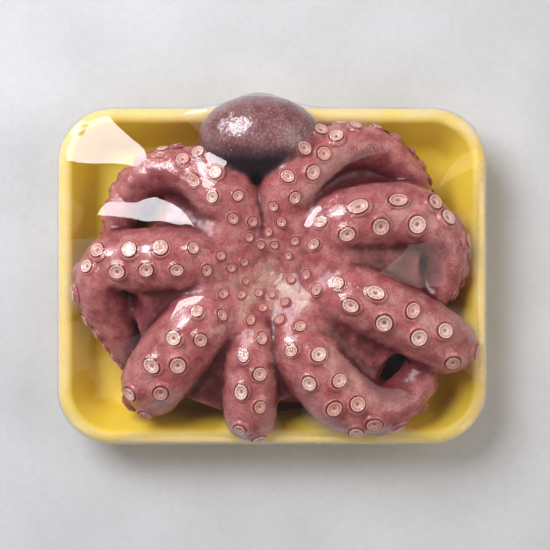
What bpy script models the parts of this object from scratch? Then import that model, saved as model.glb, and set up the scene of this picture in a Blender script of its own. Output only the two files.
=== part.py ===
"""A whole raw octopus, packed mouth side up on a moulded foam tray under stretched clear film.

Three solids, all in metres with +Z up and the origin under the middle of the pack:
  tray     the moulded foam tray
  octopus  the animal in one piece: mantle, crown, eight folded arms and their larger suckers
  film     the clear film, stretched over the octopus and the rim and turned under the base
"""

import math
from dataclasses import dataclass

import bmesh
import bpy
import numpy as np
from mathutils import Matrix, Vector
from mathutils.bvhtree import BVHTree

MM = 0.001
UP = Vector((0, 0, 1))
GAP = 0.4 * MM  # clear space kept between two pieces that touch

# The tray: a rounded rectangle over its rim, with the foam's thickness and depth.
TRAY_LENGTH = 235 * MM
TRAY_WIDTH = 184 * MM
TRAY_CORNER = 30 * MM
TRAY_DEPTH = 32 * MM
FOAM = 4.4 * MM
RIM_WIDTH = 8 * MM
WALL_SPREAD = 10 * MM  # how far the wall leans outwards from floor to rim
TRAY_CORNER_STEPS = 7

# The film is shown far thicker than it is, so that it is a solid that can be handled.
FILM = 0.4 * MM
FILM_HEM = 45 * MM  # how far the film reaches in under the base
FILM_RINGS = 11  # from the mouth out to the rim
FILM_CROWDING = 1.45  # how much closer the rings come together towards the rim
FILM_CORNER_STEPS = 4
FILM_STEP = 21 * MM  # between points along a straight side
FILM_CELL = 5 * MM
FILM_RELAX = 600
FILM_LIFTS = 6
FILM_DRAG = 0.5  # how much of a lift the points next to a lifted one share
TOP_VIEW = 200 * MM  # well above everything

# The octopus. Heights are above the surface that the pack stands on.
MOUTH = Vector((-2 * MM, 3.5 * MM, 40 * MM))
ARM_START = 10 * MM  # how far from the mouth an arm's own form begins
ARM_RISE = math.radians(13)  # how steeply an arm climbs from the mouth
ARM_ROOT = 5 * MM
ARM_TIP = 6 * MM
ARM_FULLNESS = 1.4  # how long an arm stays thick in its fold
ARM_SWELL = 38 * MM  # how far from its start an arm reaches its full girth
ORAL_FLATNESS = 0.8  # the sucker side is flatter than the back
ROLL_HASTE = 1.9  # how many times faster than the arm folds its suckers roll over
ARM_STEP = 4 * MM
ARM_SIDES = 14

MANTLE = Vector((-7 * MM, 75.5 * MM, 41 * MM))
MANTLE_HALF = Vector((33 * MM, 22.5 * MM, 20 * MM))
# The rest of the body, as (centre, half sizes) of rounded lumps.
BODY = (
    (Vector((-2 * MM, 3.5 * MM, 30 * MM)), Vector((46 * MM, 46 * MM, 12 * MM))),  # the crown
    (Vector((-1 * MM, 0, 20 * MM)), Vector((76 * MM, 64 * MM, 24 * MM))),  # its webs
    (Vector((0, -3 * MM, 12 * MM)), Vector((94 * MM, 74 * MM, 17 * MM))),  # arms folded under it
    (Vector((-6 * MM, 56 * MM, 24 * MM)), Vector((27 * MM, 26 * MM, 16 * MM))),  # the neck
)
OVERHANG = MANTLE.y + MANTLE_HALF.y - TRAY_WIDTH / 2  # of the mantle, past the tray's far rim
PACK_SHIFT = Vector((0, -(OVERHANG + 2 * FILM) / 2, 0))  # puts the origin under the middle

WEB_SHOULDER = 0.8  # how high on the arms a web starts, as a share of their half width
WEB_DROP = 0.36  # how much lower on them it ends
WEB_SAG = 7.5 * MM
WEB_BOW = 0.16  # how far a web's free edge draws in, as a share of its reach
WEB_THICKNESS = 13 * MM
WEB_COLUMNS = 8
WEB_STEP = 6 * MM

SUCKER_FIRST = 4 * MM  # how far along an arm the first ones sit
SUCKER_SMALLEST = 4 * MM
SUCKER_GROWTH = 46 * MM  # how far along an arm the largest ones come
SUCKER_LOOSE = 0.5  # how much wider apart the first ones sit
SUCKER_CROWD = 0.8  # how much closer together they sit in the fold and the tail
SUCKER_SPREAD = 0.42  # how far the two rows stand off the middle of the sucker side, as a slope
SUCKER_SHOWN = 6.2 * MM  # smaller suckers are left to the finish
SUCKER_SIDES = 8

VOXEL = 2.5 * MM
REST_GAP = 0.7 * MM  # between flesh and foam
FLESH_TRIANGLES = 2800


@dataclass
class Arm:
    """One arm, as a run over the crown, a fold, and a tail that lies under its neighbours.

    Angles are in degrees and anticlockwise seen from above; lengths are in millimetres.
    """

    letter: str
    girth: float  # half the widest width
    bearing: float  # the way it leaves the mouth
    run: float
    sway: float  # how far the run turns to the side
    fold: float
    turn: float  # how far the fold turns to the side
    dive: float  # how far the fold turns down
    tail: float
    roll: float  # how far the suckers roll to the outside of the fold
    sucker: float  # the widest sucker's diameter
    spacing: float  # from one sucker to the next in the other row, as a share of the diameter
    web: float  # how far the web between this arm and the next one reaches along them


ARMS = (
    Arm("a", 17, 112, 46, 26, 64, 116, 9, 30, 84, 8.2, 0.88, 76),
    Arm("b", 18, 170, 70, 16, 30, 110, -4, 56, 60, 8.6, 0.88, 80),
    Arm("c", 19.5, 214, 71, 22, 46, 0, -150, 30, 0, 8.8, 0.94, 88),
    Arm("d", 15.5, 256, 62, 14, 46, 0, -150, 30, 0, 7.8, 1.1, 77),
    Arm("e", 18.5, 288, 67, 24, 74, 150, 10, 22, 84, 8.6, 0.98, 91),
    Arm("f", 18, 346, 88, -18, 46, 0, -150, 30, 0, 9.4, 1.04, 95),
    Arm("g", 18, 41, 71, -42, 58, -125, 6, 24, -72, 9.6, 1.0, 90),
    Arm("h", 17, 84, 46, -30, 90, -136, 10, 18, -84, 8.2, 0.9, 40),
)


def clear_scene():
    """Remove everything that the scene holds."""
    for found in list(bpy.data.objects):
        bpy.data.objects.remove(found)


def material(name, colour, roughness, alpha=1.0):
    """Make a plain finish of one colour."""
    made = bpy.data.materials.new(name)
    made.use_nodes = True
    shader = made.node_tree.nodes["Principled BSDF"]
    shader.inputs["Base Color"].default_value = (*colour, 1)
    shader.inputs["Roughness"].default_value = roughness
    shader.inputs["Metallic"].default_value = 0
    shader.inputs["Alpha"].default_value = alpha
    return made


def place(name, mesh, finish=None):
    """Put a mesh into the scene as an object of its own."""
    thing = bpy.data.objects.new(name, mesh)
    bpy.context.scene.collection.objects.link(thing)
    if finish:
        mesh.materials.append(finish)
    return thing


def mesh_of(name, bm):
    """Turn a finished bmesh into a mesh, faces out."""
    bmesh.ops.recalc_face_normals(bm, faces=bm.faces)
    mesh = bpy.data.meshes.new(name)
    bm.to_mesh(mesh)
    bm.free()
    return mesh


def modified(thing):
    """The mesh that an object's modifiers give; the object itself is removed."""
    graph = bpy.context.evaluated_depsgraph_get()
    mesh = bpy.data.meshes.new_from_object(thing.evaluated_get(graph), depsgraph=graph)
    bpy.data.objects.remove(thing)
    return mesh


def loft(bm, rings, cap_first=True, cap_last=True):
    """Skin a row of rings that have the same number of points, close its ends, and give its corners."""
    rows = [[bm.verts.new(point) for point in ring] for ring in rings]
    count = len(rows[0])
    for lower, upper in zip(rows, rows[1:]):
        for i in range(count):
            j = (i + 1) % count
            bm.faces.new((lower[i], lower[j], upper[j], upper[i]))
    if cap_first:
        bm.faces.new(rows[0])
    if cap_last:
        bm.faces.new(rows[-1])
    return rows


# ---------------------------------------------------------------- the tray


def tray_outline(inset, height, corner_steps, span=None):
    """A ring of points round the tray, this far in from its rim's outer edge.

    Straight sides are a single step, or steps of about a span where one is given.
    """
    radius = max(TRAY_CORNER - inset, 2 * MM)
    flat_x = TRAY_LENGTH / 2 - inset - radius
    flat_y = TRAY_WIDTH / 2 - inset - radius
    corners = ((flat_x, flat_y), (-flat_x, flat_y), (-flat_x, -flat_y), (flat_x, -flat_y))
    sides = (TRAY_LENGTH, TRAY_WIDTH, TRAY_LENGTH, TRAY_WIDTH)
    points = []
    for quarter, (x, y) in enumerate(corners):
        turns = [(quarter + step / corner_steps) * math.pi / 2 for step in range(corner_steps + 1)]
        arc = [Vector((x + radius * math.cos(turn), y + radius * math.sin(turn), height)) for turn in turns]
        next_x, next_y = corners[(quarter + 1) % 4]
        end = Vector((next_x, next_y, height)) + arc[-1] - Vector((x, y, height))
        steps = round((sides[quarter] - 2 * TRAY_CORNER) / span) if span else 1
        points += arc + [arc[-1].lerp(end, step / steps) for step in range(1, steps)]
    return points


BASE = FILM + GAP  # the tray's underside, on the film's hem
FLOOR = BASE + FOAM
RIM_TOP = BASE + TRAY_DEPTH
# The inside of the tray, from the rim's outer edge in to the floor: (inset, height).
INNER_PROFILE = (
    (0, RIM_TOP - 2.6 * MM),
    (1.6 * MM, RIM_TOP - 0.6 * MM),
    (4 * MM, RIM_TOP),
    (6.4 * MM, RIM_TOP - 0.6 * MM),
    (RIM_WIDTH, RIM_TOP - 2.6 * MM),
    (RIM_WIDTH + WALL_SPREAD, FLOOR + 4 * MM),
    (RIM_WIDTH + WALL_SPREAD + 4 * MM, FLOOR + 0.8 * MM),
    (RIM_WIDTH + WALL_SPREAD + 9 * MM, FLOOR),
)
OUTER_PROFILE = (
    (0, RIM_TOP - 4.4 * MM),
    (1.2 * MM, RIM_TOP - 5.6 * MM),
    (RIM_WIDTH - 3.6 * MM, RIM_TOP - 6.4 * MM),
    (RIM_WIDTH + WALL_SPREAD - 4.2 * MM, BASE + 4 * MM),
    (RIM_WIDTH + WALL_SPREAD - 1 * MM, BASE),
)


def make_tray():
    """The moulded foam tray: one wall of even thickness, turned out to a rounded rim."""
    bm = bmesh.new()
    profile = [*reversed(INNER_PROFILE), *OUTER_PROFILE]
    loft(bm, [tray_outline(inset, height, TRAY_CORNER_STEPS) for inset, height in profile])
    return place("tray", mesh_of("tray", bm), material("yellow foam", (0.86, 0.62, 0.12), 0.55))


def tray_inset(x, y):
    """How far in from the rim's outer edge a place is."""
    past_x = abs(x) - (TRAY_LENGTH / 2 - TRAY_CORNER)
    past_y = abs(y) - (TRAY_WIDTH / 2 - TRAY_CORNER)
    outside = math.hypot(max(past_x, 0), max(past_y, 0)) + min(max(past_x, past_y), 0)
    return TRAY_CORNER - outside


def tray_height(x, y):
    """The height of the tray's upper surface. Beyond the crest of the rim it stays level."""
    inset = max(tray_inset(x, y), 4 * MM)
    insets, heights = zip(*INNER_PROFILE)
    return float(np.interp(inset, insets, heights))


# ------------------------------------------------------------- the octopus


def full_turn(count):
    """Evenly spaced angles round a circle."""
    return [2 * math.pi * i / count for i in range(count)]


def smooth_step(share):
    """Ease from 0 to 1."""
    share = min(max(share, 0), 1)
    return share * share * (3 - 2 * share)


class ArmPath:
    """The line that an arm follows, with its half width and the way its suckers face."""

    def __init__(self, arm):
        self.arm = arm
        self.length = (arm.run + arm.fold + arm.tail) * MM
        self.places, self.alongs, self.orals = [], [], []
        place_now = MOUTH + ARM_START * self.heading(0)
        frame_along, frame_oral = self.heading(0), UP
        steps = round(self.length / MM)
        for step in range(steps + 1):
            distance = self.length * step / steps
            along = self.heading(distance)
            frame_oral = frame_along.rotation_difference(along) @ frame_oral
            frame_along = along
            roll = math.radians(self.arm.roll) * smooth_step(self.fold_share(distance) * ROLL_HASTE)
            self.places.append(place_now.copy())
            self.alongs.append(along)
            self.orals.append((Matrix.Rotation(roll, 3, along) @ frame_oral).normalized())
            place_now += along * (self.length / steps)
            place_now.z = max(place_now.z, FLOOR + ORAL_FLATNESS * self.half_width(distance))

    def fold_share(self, distance):
        """How far through the fold a distance along the arm is, from 0 to 1."""
        return min(max((distance / MM - self.arm.run) / self.arm.fold, 0), 1)

    def heading(self, distance):
        """The way the arm runs at a distance along it."""
        on_run = min(distance / MM / self.arm.run, 1)
        on_fold = self.fold_share(distance)
        yaw = math.radians(self.arm.bearing + self.arm.sway * on_run + self.arm.turn * on_fold)
        pitch = ARM_RISE * (1 - 2 * on_run) + math.radians(self.arm.dive) * on_fold
        level = math.cos(pitch)
        return Vector((math.cos(yaw) * level, math.sin(yaw) * level, math.sin(pitch)))

    def half_width(self, distance):
        """The arm's half width: it swells from the mouth, and tapers from the fold to the tip."""
        girth = self.arm.girth * MM
        swollen = ARM_ROOT + (girth - ARM_ROOT) * smooth_step(distance / ARM_SWELL)
        past_run = max(distance - self.arm.run * MM, 0) / (self.length - self.arm.run * MM)
        width = swollen + (ARM_TIP - girth) * past_run**ARM_FULLNESS
        to_end = max(self.length - distance, 0)
        if to_end < width:
            width *= math.sqrt(max(1 - (1 - to_end / width) ** 2, 0.04))
        return width

    def at(self, distance):
        """(place, way along, way the suckers face, way to the side) at a distance along the arm."""
        index = min(round(distance / MM), len(self.places) - 1)
        along, oral = self.alongs[index], self.orals[index]
        return self.places[index], along, oral, along.cross(oral)

    def rings(self):
        """The arm's cross-sections, flatter on the sucker side."""
        for distance in np.arange(0, self.length + ARM_STEP / 2, ARM_STEP).tolist():
            centre, _, oral, side = self.at(distance)
            half = self.half_width(distance)
            ring = []
            for turn in full_turn(ARM_SIDES):
                lift = math.sin(turn) * (ORAL_FLATNESS if math.sin(turn) > 0 else 1)
                ring.append(centre + half * (side * math.cos(turn) + oral * lift))
            yield ring

    def suckers(self):
        """(distance, side, diameter) of each sucker: two rows that alternate along the arm."""
        distance, row = SUCKER_FIRST, 1
        while distance < self.length - ARM_TIP:
            grown = min(distance / SUCKER_GROWTH, 1)
            diameter = SUCKER_SMALLEST + (self.arm.sucker * MM - SUCKER_SMALLEST) * grown
            step = self.arm.spacing * diameter * (1 + SUCKER_LOOSE * (1 - grown))
            if distance > self.arm.run * MM:
                taper = self.half_width(distance) / (self.arm.girth * MM)
                diameter *= taper
                step *= taper * SUCKER_CROWD
            yield distance, row, diameter
            distance += step
            row = -row


def web_point(paths, distance, across):
    """A point on top of the web between two arms, at a distance out and a share of the way across."""
    hollow = math.sin(math.pi * across)
    distance *= 1 - WEB_BOW * hollow
    outwards = smooth_step(1.25 * distance / (paths[0].arm.web * MM))
    shoulder = WEB_SHOULDER - WEB_DROP * outwards
    ends = [path.at(distance)[0] + shoulder * path.half_width(distance) * UP for path in paths]
    return ends[0].lerp(ends[1], across) - WEB_SAG * outwards * hollow * UP


def web_rings(path, neighbour):
    """The web between two neighbouring arms: a thick sheet whose rings go over the top and back below."""
    reach = path.arm.web * MM
    for distance in np.linspace(0, reach, round(reach / WEB_STEP)).tolist():
        upper = [
            web_point((path, neighbour), distance, column / WEB_COLUMNS)
            for column in range(WEB_COLUMNS + 1)
        ]
        yield upper + [point - WEB_THICKNESS * UP for point in reversed(upper)]


def settle(mesh, passes):
    """Lay flesh on the tray: whatever would sink into the foam is pressed up to rest on it.

    The corners are moved first. Each pass then moves whole faces that still dip between them.
    """
    for vertex in mesh.vertices:
        vertex.co.z = max(vertex.co.z, tray_height(vertex.co.x, vertex.co.y) + REST_GAP)
    samples = [(1 / 3, 1 / 3, 1 / 3)]
    for share in (0.5, 0.75):
        samples += [(share, 1 - share, 0), (0, share, 1 - share), (1 - share, 0, share)]
    for _ in range(passes):
        for face in mesh.polygons:
            corners = [mesh.vertices[index].co for index in face.vertices[:3]]
            for weights in samples:
                point = sum((corner * weight for corner, weight in zip(corners, weights)), Vector())
                short = tray_height(point.x, point.y) + REST_GAP - point.z
                if short > 0:
                    for corner, weight in zip(corners, weights):
                        corner.z += short * weight / sum(each * each for each in weights)


def make_flesh(paths):
    """Mantle, crown and arms as one skin, laid on the tray."""
    bm = bmesh.new()
    for path, neighbour in zip(paths, paths[1:] + paths[:1]):
        loft(bm, list(path.rings()))
        loft(bm, list(web_rings(path, neighbour)))
    for centre, half in ((MANTLE, MANTLE_HALF), *BODY):
        scale = Matrix.Diagonal((*half, 1))
        bmesh.ops.create_uvsphere(
            bm, u_segments=32, v_segments=20, radius=1, matrix=Matrix.Translation(centre) @ scale
        )
    flesh = place("flesh", mesh_of("flesh", bm))
    settle(flesh.data, passes=0)
    fuse = flesh.modifiers.new("fuse", "REMESH")
    fuse.mode = "VOXEL"
    fuse.voxel_size = VOXEL
    ease = flesh.modifiers.new("ease", "SMOOTH")
    ease.factor = 0.5
    ease.iterations = 6
    flesh = place("flesh", outer_skin(modified(flesh)))
    coarsen = flesh.modifiers.new("coarsen", "DECIMATE")
    coarsen.ratio = FLESH_TRIANGLES / (2 * len(flesh.data.polygons))
    mesh = modified(flesh)
    settle(mesh, passes=2)
    return mesh


def outer_skin(mesh):
    """Keep a mesh's largest island, and drop the skins of any hollows inside it."""
    bm = bmesh.new()
    bm.from_mesh(mesh)
    unseen = set(bm.verts)
    islands = []
    while unseen:
        front = [unseen.pop()]
        island = set(front)
        while front:
            for edge in front.pop().link_edges:
                for vertex in edge.verts:
                    if vertex in unseen:
                        unseen.remove(vertex)
                        island.add(vertex)
                        front.append(vertex)
        islands.append(island)
    largest = max(islands, key=len)
    dropped = [vertex for island in islands if island is not largest for vertex in island]
    bmesh.ops.delete(bm, geom=dropped, context="VERTS")
    return mesh_of(mesh.name, bm)


def sucker(bm, centre, out, along, diameter):
    """A sucker: a short neck that flares to a rim, dished to a point in the middle."""
    side = along.cross(out).normalized()
    forward = out.cross(side)
    radius = diameter / 2

    def ring(share, lift):
        return [
            centre + share * radius * (side * math.cos(turn) + forward * math.sin(turn)) + lift * radius * out
            for turn in full_turn(SUCKER_SIDES)
        ]

    rows = loft(bm, [ring(0.9, -0.5), ring(1, 0.4)], cap_last=False)
    middle = bm.verts.new(centre + 0.1 * radius * out)
    for i in range(SUCKER_SIDES):
        bm.faces.new((rows[-1][i], rows[-1][(i + 1) % SUCKER_SIDES], middle))


def make_octopus(paths):
    """The whole animal, with the suckers that face up or out."""
    flesh = make_flesh(paths)
    bm = bmesh.new()
    bm.from_mesh(flesh)
    skin = BVHTree.FromBMesh(bm)
    bm.free()
    bm = bmesh.new()
    taken = []
    for path in paths:
        for distance, row, diameter in path.suckers():
            if diameter < SUCKER_SHOWN:
                continue
            place_on, along, oral, side = path.at(distance)
            half = path.half_width(distance)
            aim = (oral + row * SUCKER_SPREAD * side).normalized()
            hit, out, _, _ = skin.ray_cast(place_on + 3 * half * aim, -aim, 3 * half)
            if hit is None or out.z < 0.1 or (hit - place_on).length > 1.25 * half:
                continue
            low = min(hit.z, hit.z + out.z) - diameter * math.hypot(out.x, out.y) / 2
            if low < tray_height(hit.x + out.x * diameter, hit.y + out.y * diameter) + GAP:
                continue
            if any((hit - other).length < 0.5 * (diameter + wide) for other, wide in taken):
                continue
            taken.append((hit, diameter))
            sucker(bm, hit, out, along, diameter)
    suckers = place("suckers", mesh_of("suckers", bm))
    body = place("body", flesh)
    join = body.modifiers.new("join", "BOOLEAN")
    join.operation = "UNION"
    join.object = suckers
    mesh = modified(body)
    bpy.data.objects.remove(suckers)
    mesh.shade_smooth()
    mesh.set_sharp_from_angle(angle=math.radians(50))
    return place("octopus", mesh, material("raw octopus", (0.45, 0.17, 0.16), 0.35))


# ---------------------------------------------------------------- the film


def bulge(x, y):
    """How strongly the mantle pushes the film out past the far rim, from 0 to 1."""
    return math.exp(-(((x - MANTLE.x) / (1.15 * MANTLE_HALF.x)) ** 4)) if y > 0 else 0


EDGE_INSET = 4 * MM  # the film's upper edge runs along the crest of the rim
EDGE_HEIGHT = RIM_TOP + GAP + FILM
EDGE_PUSH = OVERHANG + 5 * MM  # how far the mantle moves that edge out, and up
EDGE_LIFT = 12 * MM
# From the upper edge down to the hem: (inset, height, push and lift where the mantle bears on it).
FILM_SIDE = (
    (EDGE_INSET, EDGE_HEIGHT, EDGE_PUSH, EDGE_LIFT),
    (0.8 * MM, RIM_TOP + GAP, OVERHANG + 2.6 * MM, 8 * MM),
    (-1.4 * MM, RIM_TOP - 2.6 * MM, OVERHANG + 0.6 * MM, 4 * MM),
    (-1.4 * MM, RIM_TOP - 5 * MM, 0, 0),
    (RIM_WIDTH + WALL_SPREAD - 2.6 * MM, 0.6 * MM, 0, 0),
    (RIM_WIDTH + WALL_SPREAD, 0, 0, 0),
    (FILM_HEM, 0, 0, 0),
)


def film_ring(inset, height, push, lift):
    """A ring of the film round the tray, pushed out and lifted where the mantle bears on it."""
    ring = tray_outline(inset, height, FILM_CORNER_STEPS, FILM_STEP)
    for point in ring:
        share = bulge(point.x, point.y)
        point.y += push * share
        point.z += lift * share
    return ring


class Membrane:
    """The height of the taut film over the pack, on a square grid of cells."""

    def __init__(self, octopus):
        bm = bmesh.new()
        bm.from_mesh(octopus.data)
        self.below = BVHTree.FromBMesh(bm)
        bm.free()
        reach = np.array((TRAY_LENGTH, TRAY_WIDTH)) / 2 + OVERHANG + 2 * FILM_CELL
        self.counts = np.ceil(2 * reach / FILM_CELL).astype(int)
        self.corner = -self.counts * FILM_CELL / 2
        columns, rows = (range(count) for count in self.counts)
        places = [[self.corner + np.array((i, j)) * FILM_CELL for i in columns] for j in rows]
        resting = np.array([[self.resting(*place_at) for place_at in row] for row in places])
        edge = np.array([[EDGE_HEIGHT + EDGE_LIFT * bulge(*place_at) for place_at in row] for row in places])
        beyond = np.array([[self.beyond(*place_at) for place_at in row] for row in places])
        self.heights = np.where(beyond, edge, resting)
        for _ in range(FILM_RELAX):
            level = sum(np.roll(self.heights, step, axis) for step in (-1, 1) for axis in (0, 1)) / 4
            self.heights = np.where(beyond, edge, np.maximum(level, resting))

    def resting(self, x, y):
        """The lowest that the film can lie over a place."""
        hit = self.below.ray_cast(Vector((x, y, TOP_VIEW)), -UP)[0]
        return max(tray_height(x, y), hit.z if hit else 0) + GAP + FILM

    def beyond(self, x, y):
        """Whether a place is past the edge where the film turns down."""
        return tray_inset(x, y - EDGE_PUSH * bulge(x, y)) < EDGE_INSET

    def height(self, point):
        """The film's height over a point, between the four nearest places of the grid."""
        i, j = (np.array(point.xy) - self.corner) / FILM_CELL
        column, row = int(i), int(j)
        across, up = i - column, j - row
        near = self.heights[row : row + 2, column : column + 2]
        return float(np.array((1 - up, up)) @ near @ np.array((1 - across, across)))


def film_sheet(top, sides):
    """The film without its thickness: from a pole over the mouth out and down to the hem."""
    bm = bmesh.new()
    rows = loft(bm, top[1:] + sides, cap_first=False, cap_last=False)
    pole = bm.verts.new(top[0][0])
    count = len(rows[0])
    for i in range(count):
        bm.faces.new((pole, rows[0][i], rows[0][(i + 1) % count]))
    bmesh.ops.triangulate(bm, faces=bm.faces)
    return mesh_of("film", bm)


def lift_clear(sheet, below):
    """Lift the sheet's faces until they clear every corner of a mesh beneath them."""
    for _ in range(FILM_LIFTS):
        faces = [tuple(face.vertices) for face in sheet.polygons]
        tree = BVHTree.FromPolygons([vertex.co for vertex in sheet.vertices], faces)
        lifts = {}
        for vertex in below.vertices:
            over = Vector((vertex.co.x, vertex.co.y, TOP_VIEW))
            hit, normal, index, _ = tree.ray_cast(over, -UP)
            if hit is None:
                continue
            short = vertex.co.z + (GAP + FILM) / max(abs(normal.z), 0.3) - hit.z
            for corner in faces[index]:
                lifts[corner] = max(lifts.get(corner, 0), short)
        shared = dict(lifts)
        for edge in sheet.edges:
            for corner, neighbour in (edge.vertices, reversed(edge.vertices)):
                shared[corner] = max(shared.get(corner, 0), FILM_DRAG * lifts.get(neighbour, 0))
        for corner, lift in shared.items():
            sheet.vertices[corner].co.z += lift


def make_film(octopus):
    """The stretched film: a taut skin over octopus and rim, down the sides and in under the base."""
    membrane = Membrane(octopus)
    sides = [film_ring(*level) for level in FILM_SIDE]
    centre = Vector((MOUTH.x, MOUTH.y, EDGE_HEIGHT))
    shares = [1 - (1 - step / FILM_RINGS) ** FILM_CROWDING for step in range(FILM_RINGS)]
    top = [[centre.lerp(point, share) for point in sides[0]] for share in shares]
    for ring in top:
        for point in ring:
            point.z = membrane.height(point)
    sheet = film_sheet(top, sides)
    lift_clear(sheet, octopus.data)
    film = place("film", sheet, material("clear film", (0.9, 0.9, 0.9), 0.05, 0.2))
    wall = film.modifiers.new("wall", "SOLIDIFY")
    wall.thickness = FILM
    wall.offset = -1
    return film


def main():
    """Build the pack and put its origin under its middle."""
    clear_scene()
    tray = make_tray()
    octopus = make_octopus([ArmPath(arm) for arm in ARMS])
    film = make_film(octopus)
    for piece in (tray, octopus, film):
        piece.location = PACK_SHIFT


main()
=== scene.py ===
"""The looks of a whole raw octopus, packed mouth side up on a foam tray under stretched clear film.

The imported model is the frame. Each of its three solids is replaced by a finer piece of the same size:
the thermoformed tray, the octopus with every sucker on its eight arms, and the film stretched over both.
Sizes are in metres, heights are above the surface that the pack stands on, and places are measured
from the middle of the tray.
"""

from __future__ import annotations

import logging
import math
from dataclasses import dataclass, field
from typing import Any, Iterable, Iterator, Sequence

import bmesh
import bpy
import numpy as np
from bmesh.types import BMesh
from bpy.types import Material, Mesh, Node, NodeSocket, NodeTree, Object
from mathutils import Matrix, Vector, noise
from mathutils.bvhtree import BVHTree
from mathutils.kdtree import KDTree


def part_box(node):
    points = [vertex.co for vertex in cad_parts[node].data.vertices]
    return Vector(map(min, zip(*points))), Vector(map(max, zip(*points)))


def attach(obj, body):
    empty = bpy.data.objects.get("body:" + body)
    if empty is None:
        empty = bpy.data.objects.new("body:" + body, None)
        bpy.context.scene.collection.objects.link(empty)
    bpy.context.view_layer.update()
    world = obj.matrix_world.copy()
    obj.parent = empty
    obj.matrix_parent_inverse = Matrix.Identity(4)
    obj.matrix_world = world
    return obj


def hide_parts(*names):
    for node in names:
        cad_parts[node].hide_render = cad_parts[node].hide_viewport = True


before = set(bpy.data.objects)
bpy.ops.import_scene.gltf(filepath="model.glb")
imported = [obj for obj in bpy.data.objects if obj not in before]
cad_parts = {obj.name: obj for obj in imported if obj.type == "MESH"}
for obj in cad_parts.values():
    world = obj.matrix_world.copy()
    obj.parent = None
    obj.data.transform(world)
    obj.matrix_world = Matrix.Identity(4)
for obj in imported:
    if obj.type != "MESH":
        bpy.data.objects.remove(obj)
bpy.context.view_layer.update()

LOG = logging.getLogger("octopus_pack")
MM = 0.001
UP = Vector((0, 0, 1))
BODY = "root"

TRAY_LOW, TRAY_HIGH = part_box("tray")
MIDDLE = Vector(((TRAY_LOW.x + TRAY_HIGH.x) / 2, (TRAY_LOW.y + TRAY_HIGH.y) / 2, 0))
BASE = TRAY_LOW.z
RIM_TOP = TRAY_HIGH.z


# ------------------------------------------------------------------ helpers


def linear(colour: str, alpha: float = 1.0) -> tuple[float, float, float, float]:
    """Turn an sRGB hex colour into the linear values that a socket takes.

    Args:
        colour: a colour such as "#C8A080".
        alpha: its opacity.

    Returns:
        Red, green, blue and alpha.
    """
    parts = [int(colour[i : i + 2], 16) / 255 for i in (1, 3, 5)]
    red, green, blue = (p / 12.92 if p <= 0.04045 else ((p + 0.055) / 1.055) ** 2.4 for p in parts)
    return red, green, blue, alpha


def add_node(
    tree: NodeTree, kind: str, settings: dict[Any, Any] | None = None, **links: NodeSocket
) -> Node:
    """Add a shader node with its settings and links.

    Args:
        tree: the node tree of a material or a world.
        kind: the node's type, without the prefix "ShaderNode".
        settings: values by the name or number of an input or by the name of a property; "stops" are a ramp's
            (place, colour) pairs.
        links: sockets by the name or number of the input that they feed, with _ for each space.

    Returns:
        The node.
    """
    made = tree.nodes.new("ShaderNode" + kind)
    for name, value in (settings or {}).items():
        if name == "stops":
            while len(made.color_ramp.elements) < len(value):
                made.color_ramp.elements.new(1)
            for element, (place, colour) in zip(made.color_ramp.elements, value):
                element.position = place
                element.color = linear(colour)
        elif isinstance(name, int) or name in made.inputs:
            made.inputs[name].default_value = value
        else:
            setattr(made, name, value)
    for name, socket in links.items():
        tree.links.new(socket, made.inputs[int(name) if name.isdigit() else name.replace("_", " ")])
    return made


def new_material(name: str) -> tuple[Material, NodeTree, NodeSocket]:
    """Make an empty node material.

    Args:
        name: the real material's name.

    Returns:
        The material, its node tree, and the surface socket of its output.
    """
    material = bpy.data.materials.new(name)
    material.use_nodes = True
    tree = material.node_tree
    tree.nodes.clear()
    return material, tree, add_node(tree, "OutputMaterial").inputs["Surface"]


def deselect() -> None:
    """Leave nothing selected."""
    for thing in bpy.context.selected_objects:
        thing.select_set(False)


def choose(*things: Object) -> None:
    """Select just these objects, the first of them active."""
    deselect()
    for thing in things:
        thing.select_set(True)
    bpy.context.view_layer.objects.active = things[0]


def place(name: str, mesh: Mesh) -> Object:
    """Put a mesh into the scene as an object of its own."""
    thing = bpy.data.objects.new(name, mesh)
    bpy.context.scene.collection.objects.link(thing)
    return thing


def apply_modifier(thing: Object, kind: str, **settings: Any) -> None:
    """Give an object a modifier and apply it.

    Args:
        thing: the object.
        kind: the modifier's type.
        settings: its properties.
    """
    choose(thing)
    modifier = thing.modifiers.new(kind.lower(), kind)
    for name, value in settings.items():
        setattr(modifier, name, value)
    bpy.ops.object.modifier_apply(modifier=modifier.name)


def terrace(steps: Iterable[tuple[float, float]]) -> None:
    """Shape the active object's one face into a dish by a row of insets, each with its own depth.

    Args:
        steps: how far each inset goes in, and how far up.
    """
    bpy.ops.object.mode_set(mode="EDIT")
    bpy.ops.mesh.select_all(action="SELECT")
    for inwards, upwards in steps:
        bpy.ops.mesh.inset(thickness=inwards, depth=upwards)
    bpy.ops.object.mode_set(mode="OBJECT")


def finish_piece(piece: Object, material: Material, replaced: str | None) -> None:
    """Dress a piece, put it in its place in the frame, and hang it on the frame.

    Args:
        piece: the object, modelled about the middle of the tray.
        material: its finish.
        replaced: the solid that it stands for, if any.
    """
    piece.data.transform(Matrix.Translation(MIDDLE))
    piece.data.materials.clear()
    piece.data.materials.append(material)
    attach(piece, BODY)
    if replaced:
        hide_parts(replaced)
    LOG.info("%s: %d faces", piece.name, len(piece.data.polygons))


def smooth_step(share: Any) -> Any:
    """Ease from 0 to 1, for a number or an array."""
    share = np.clip(share, 0, 1)
    return share * share * (3 - 2 * share)


def full_turn(count: int) -> list[float]:
    """Evenly spaced angles round a circle."""
    return [2 * math.pi * i / count for i in range(count)]


def points_of(mesh: Mesh) -> np.ndarray:
    """A mesh's vertices as an array of rows."""
    values = np.empty(3 * len(mesh.vertices))
    mesh.vertices.foreach_get("co", values)
    return values.reshape(-1, 3)


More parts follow.
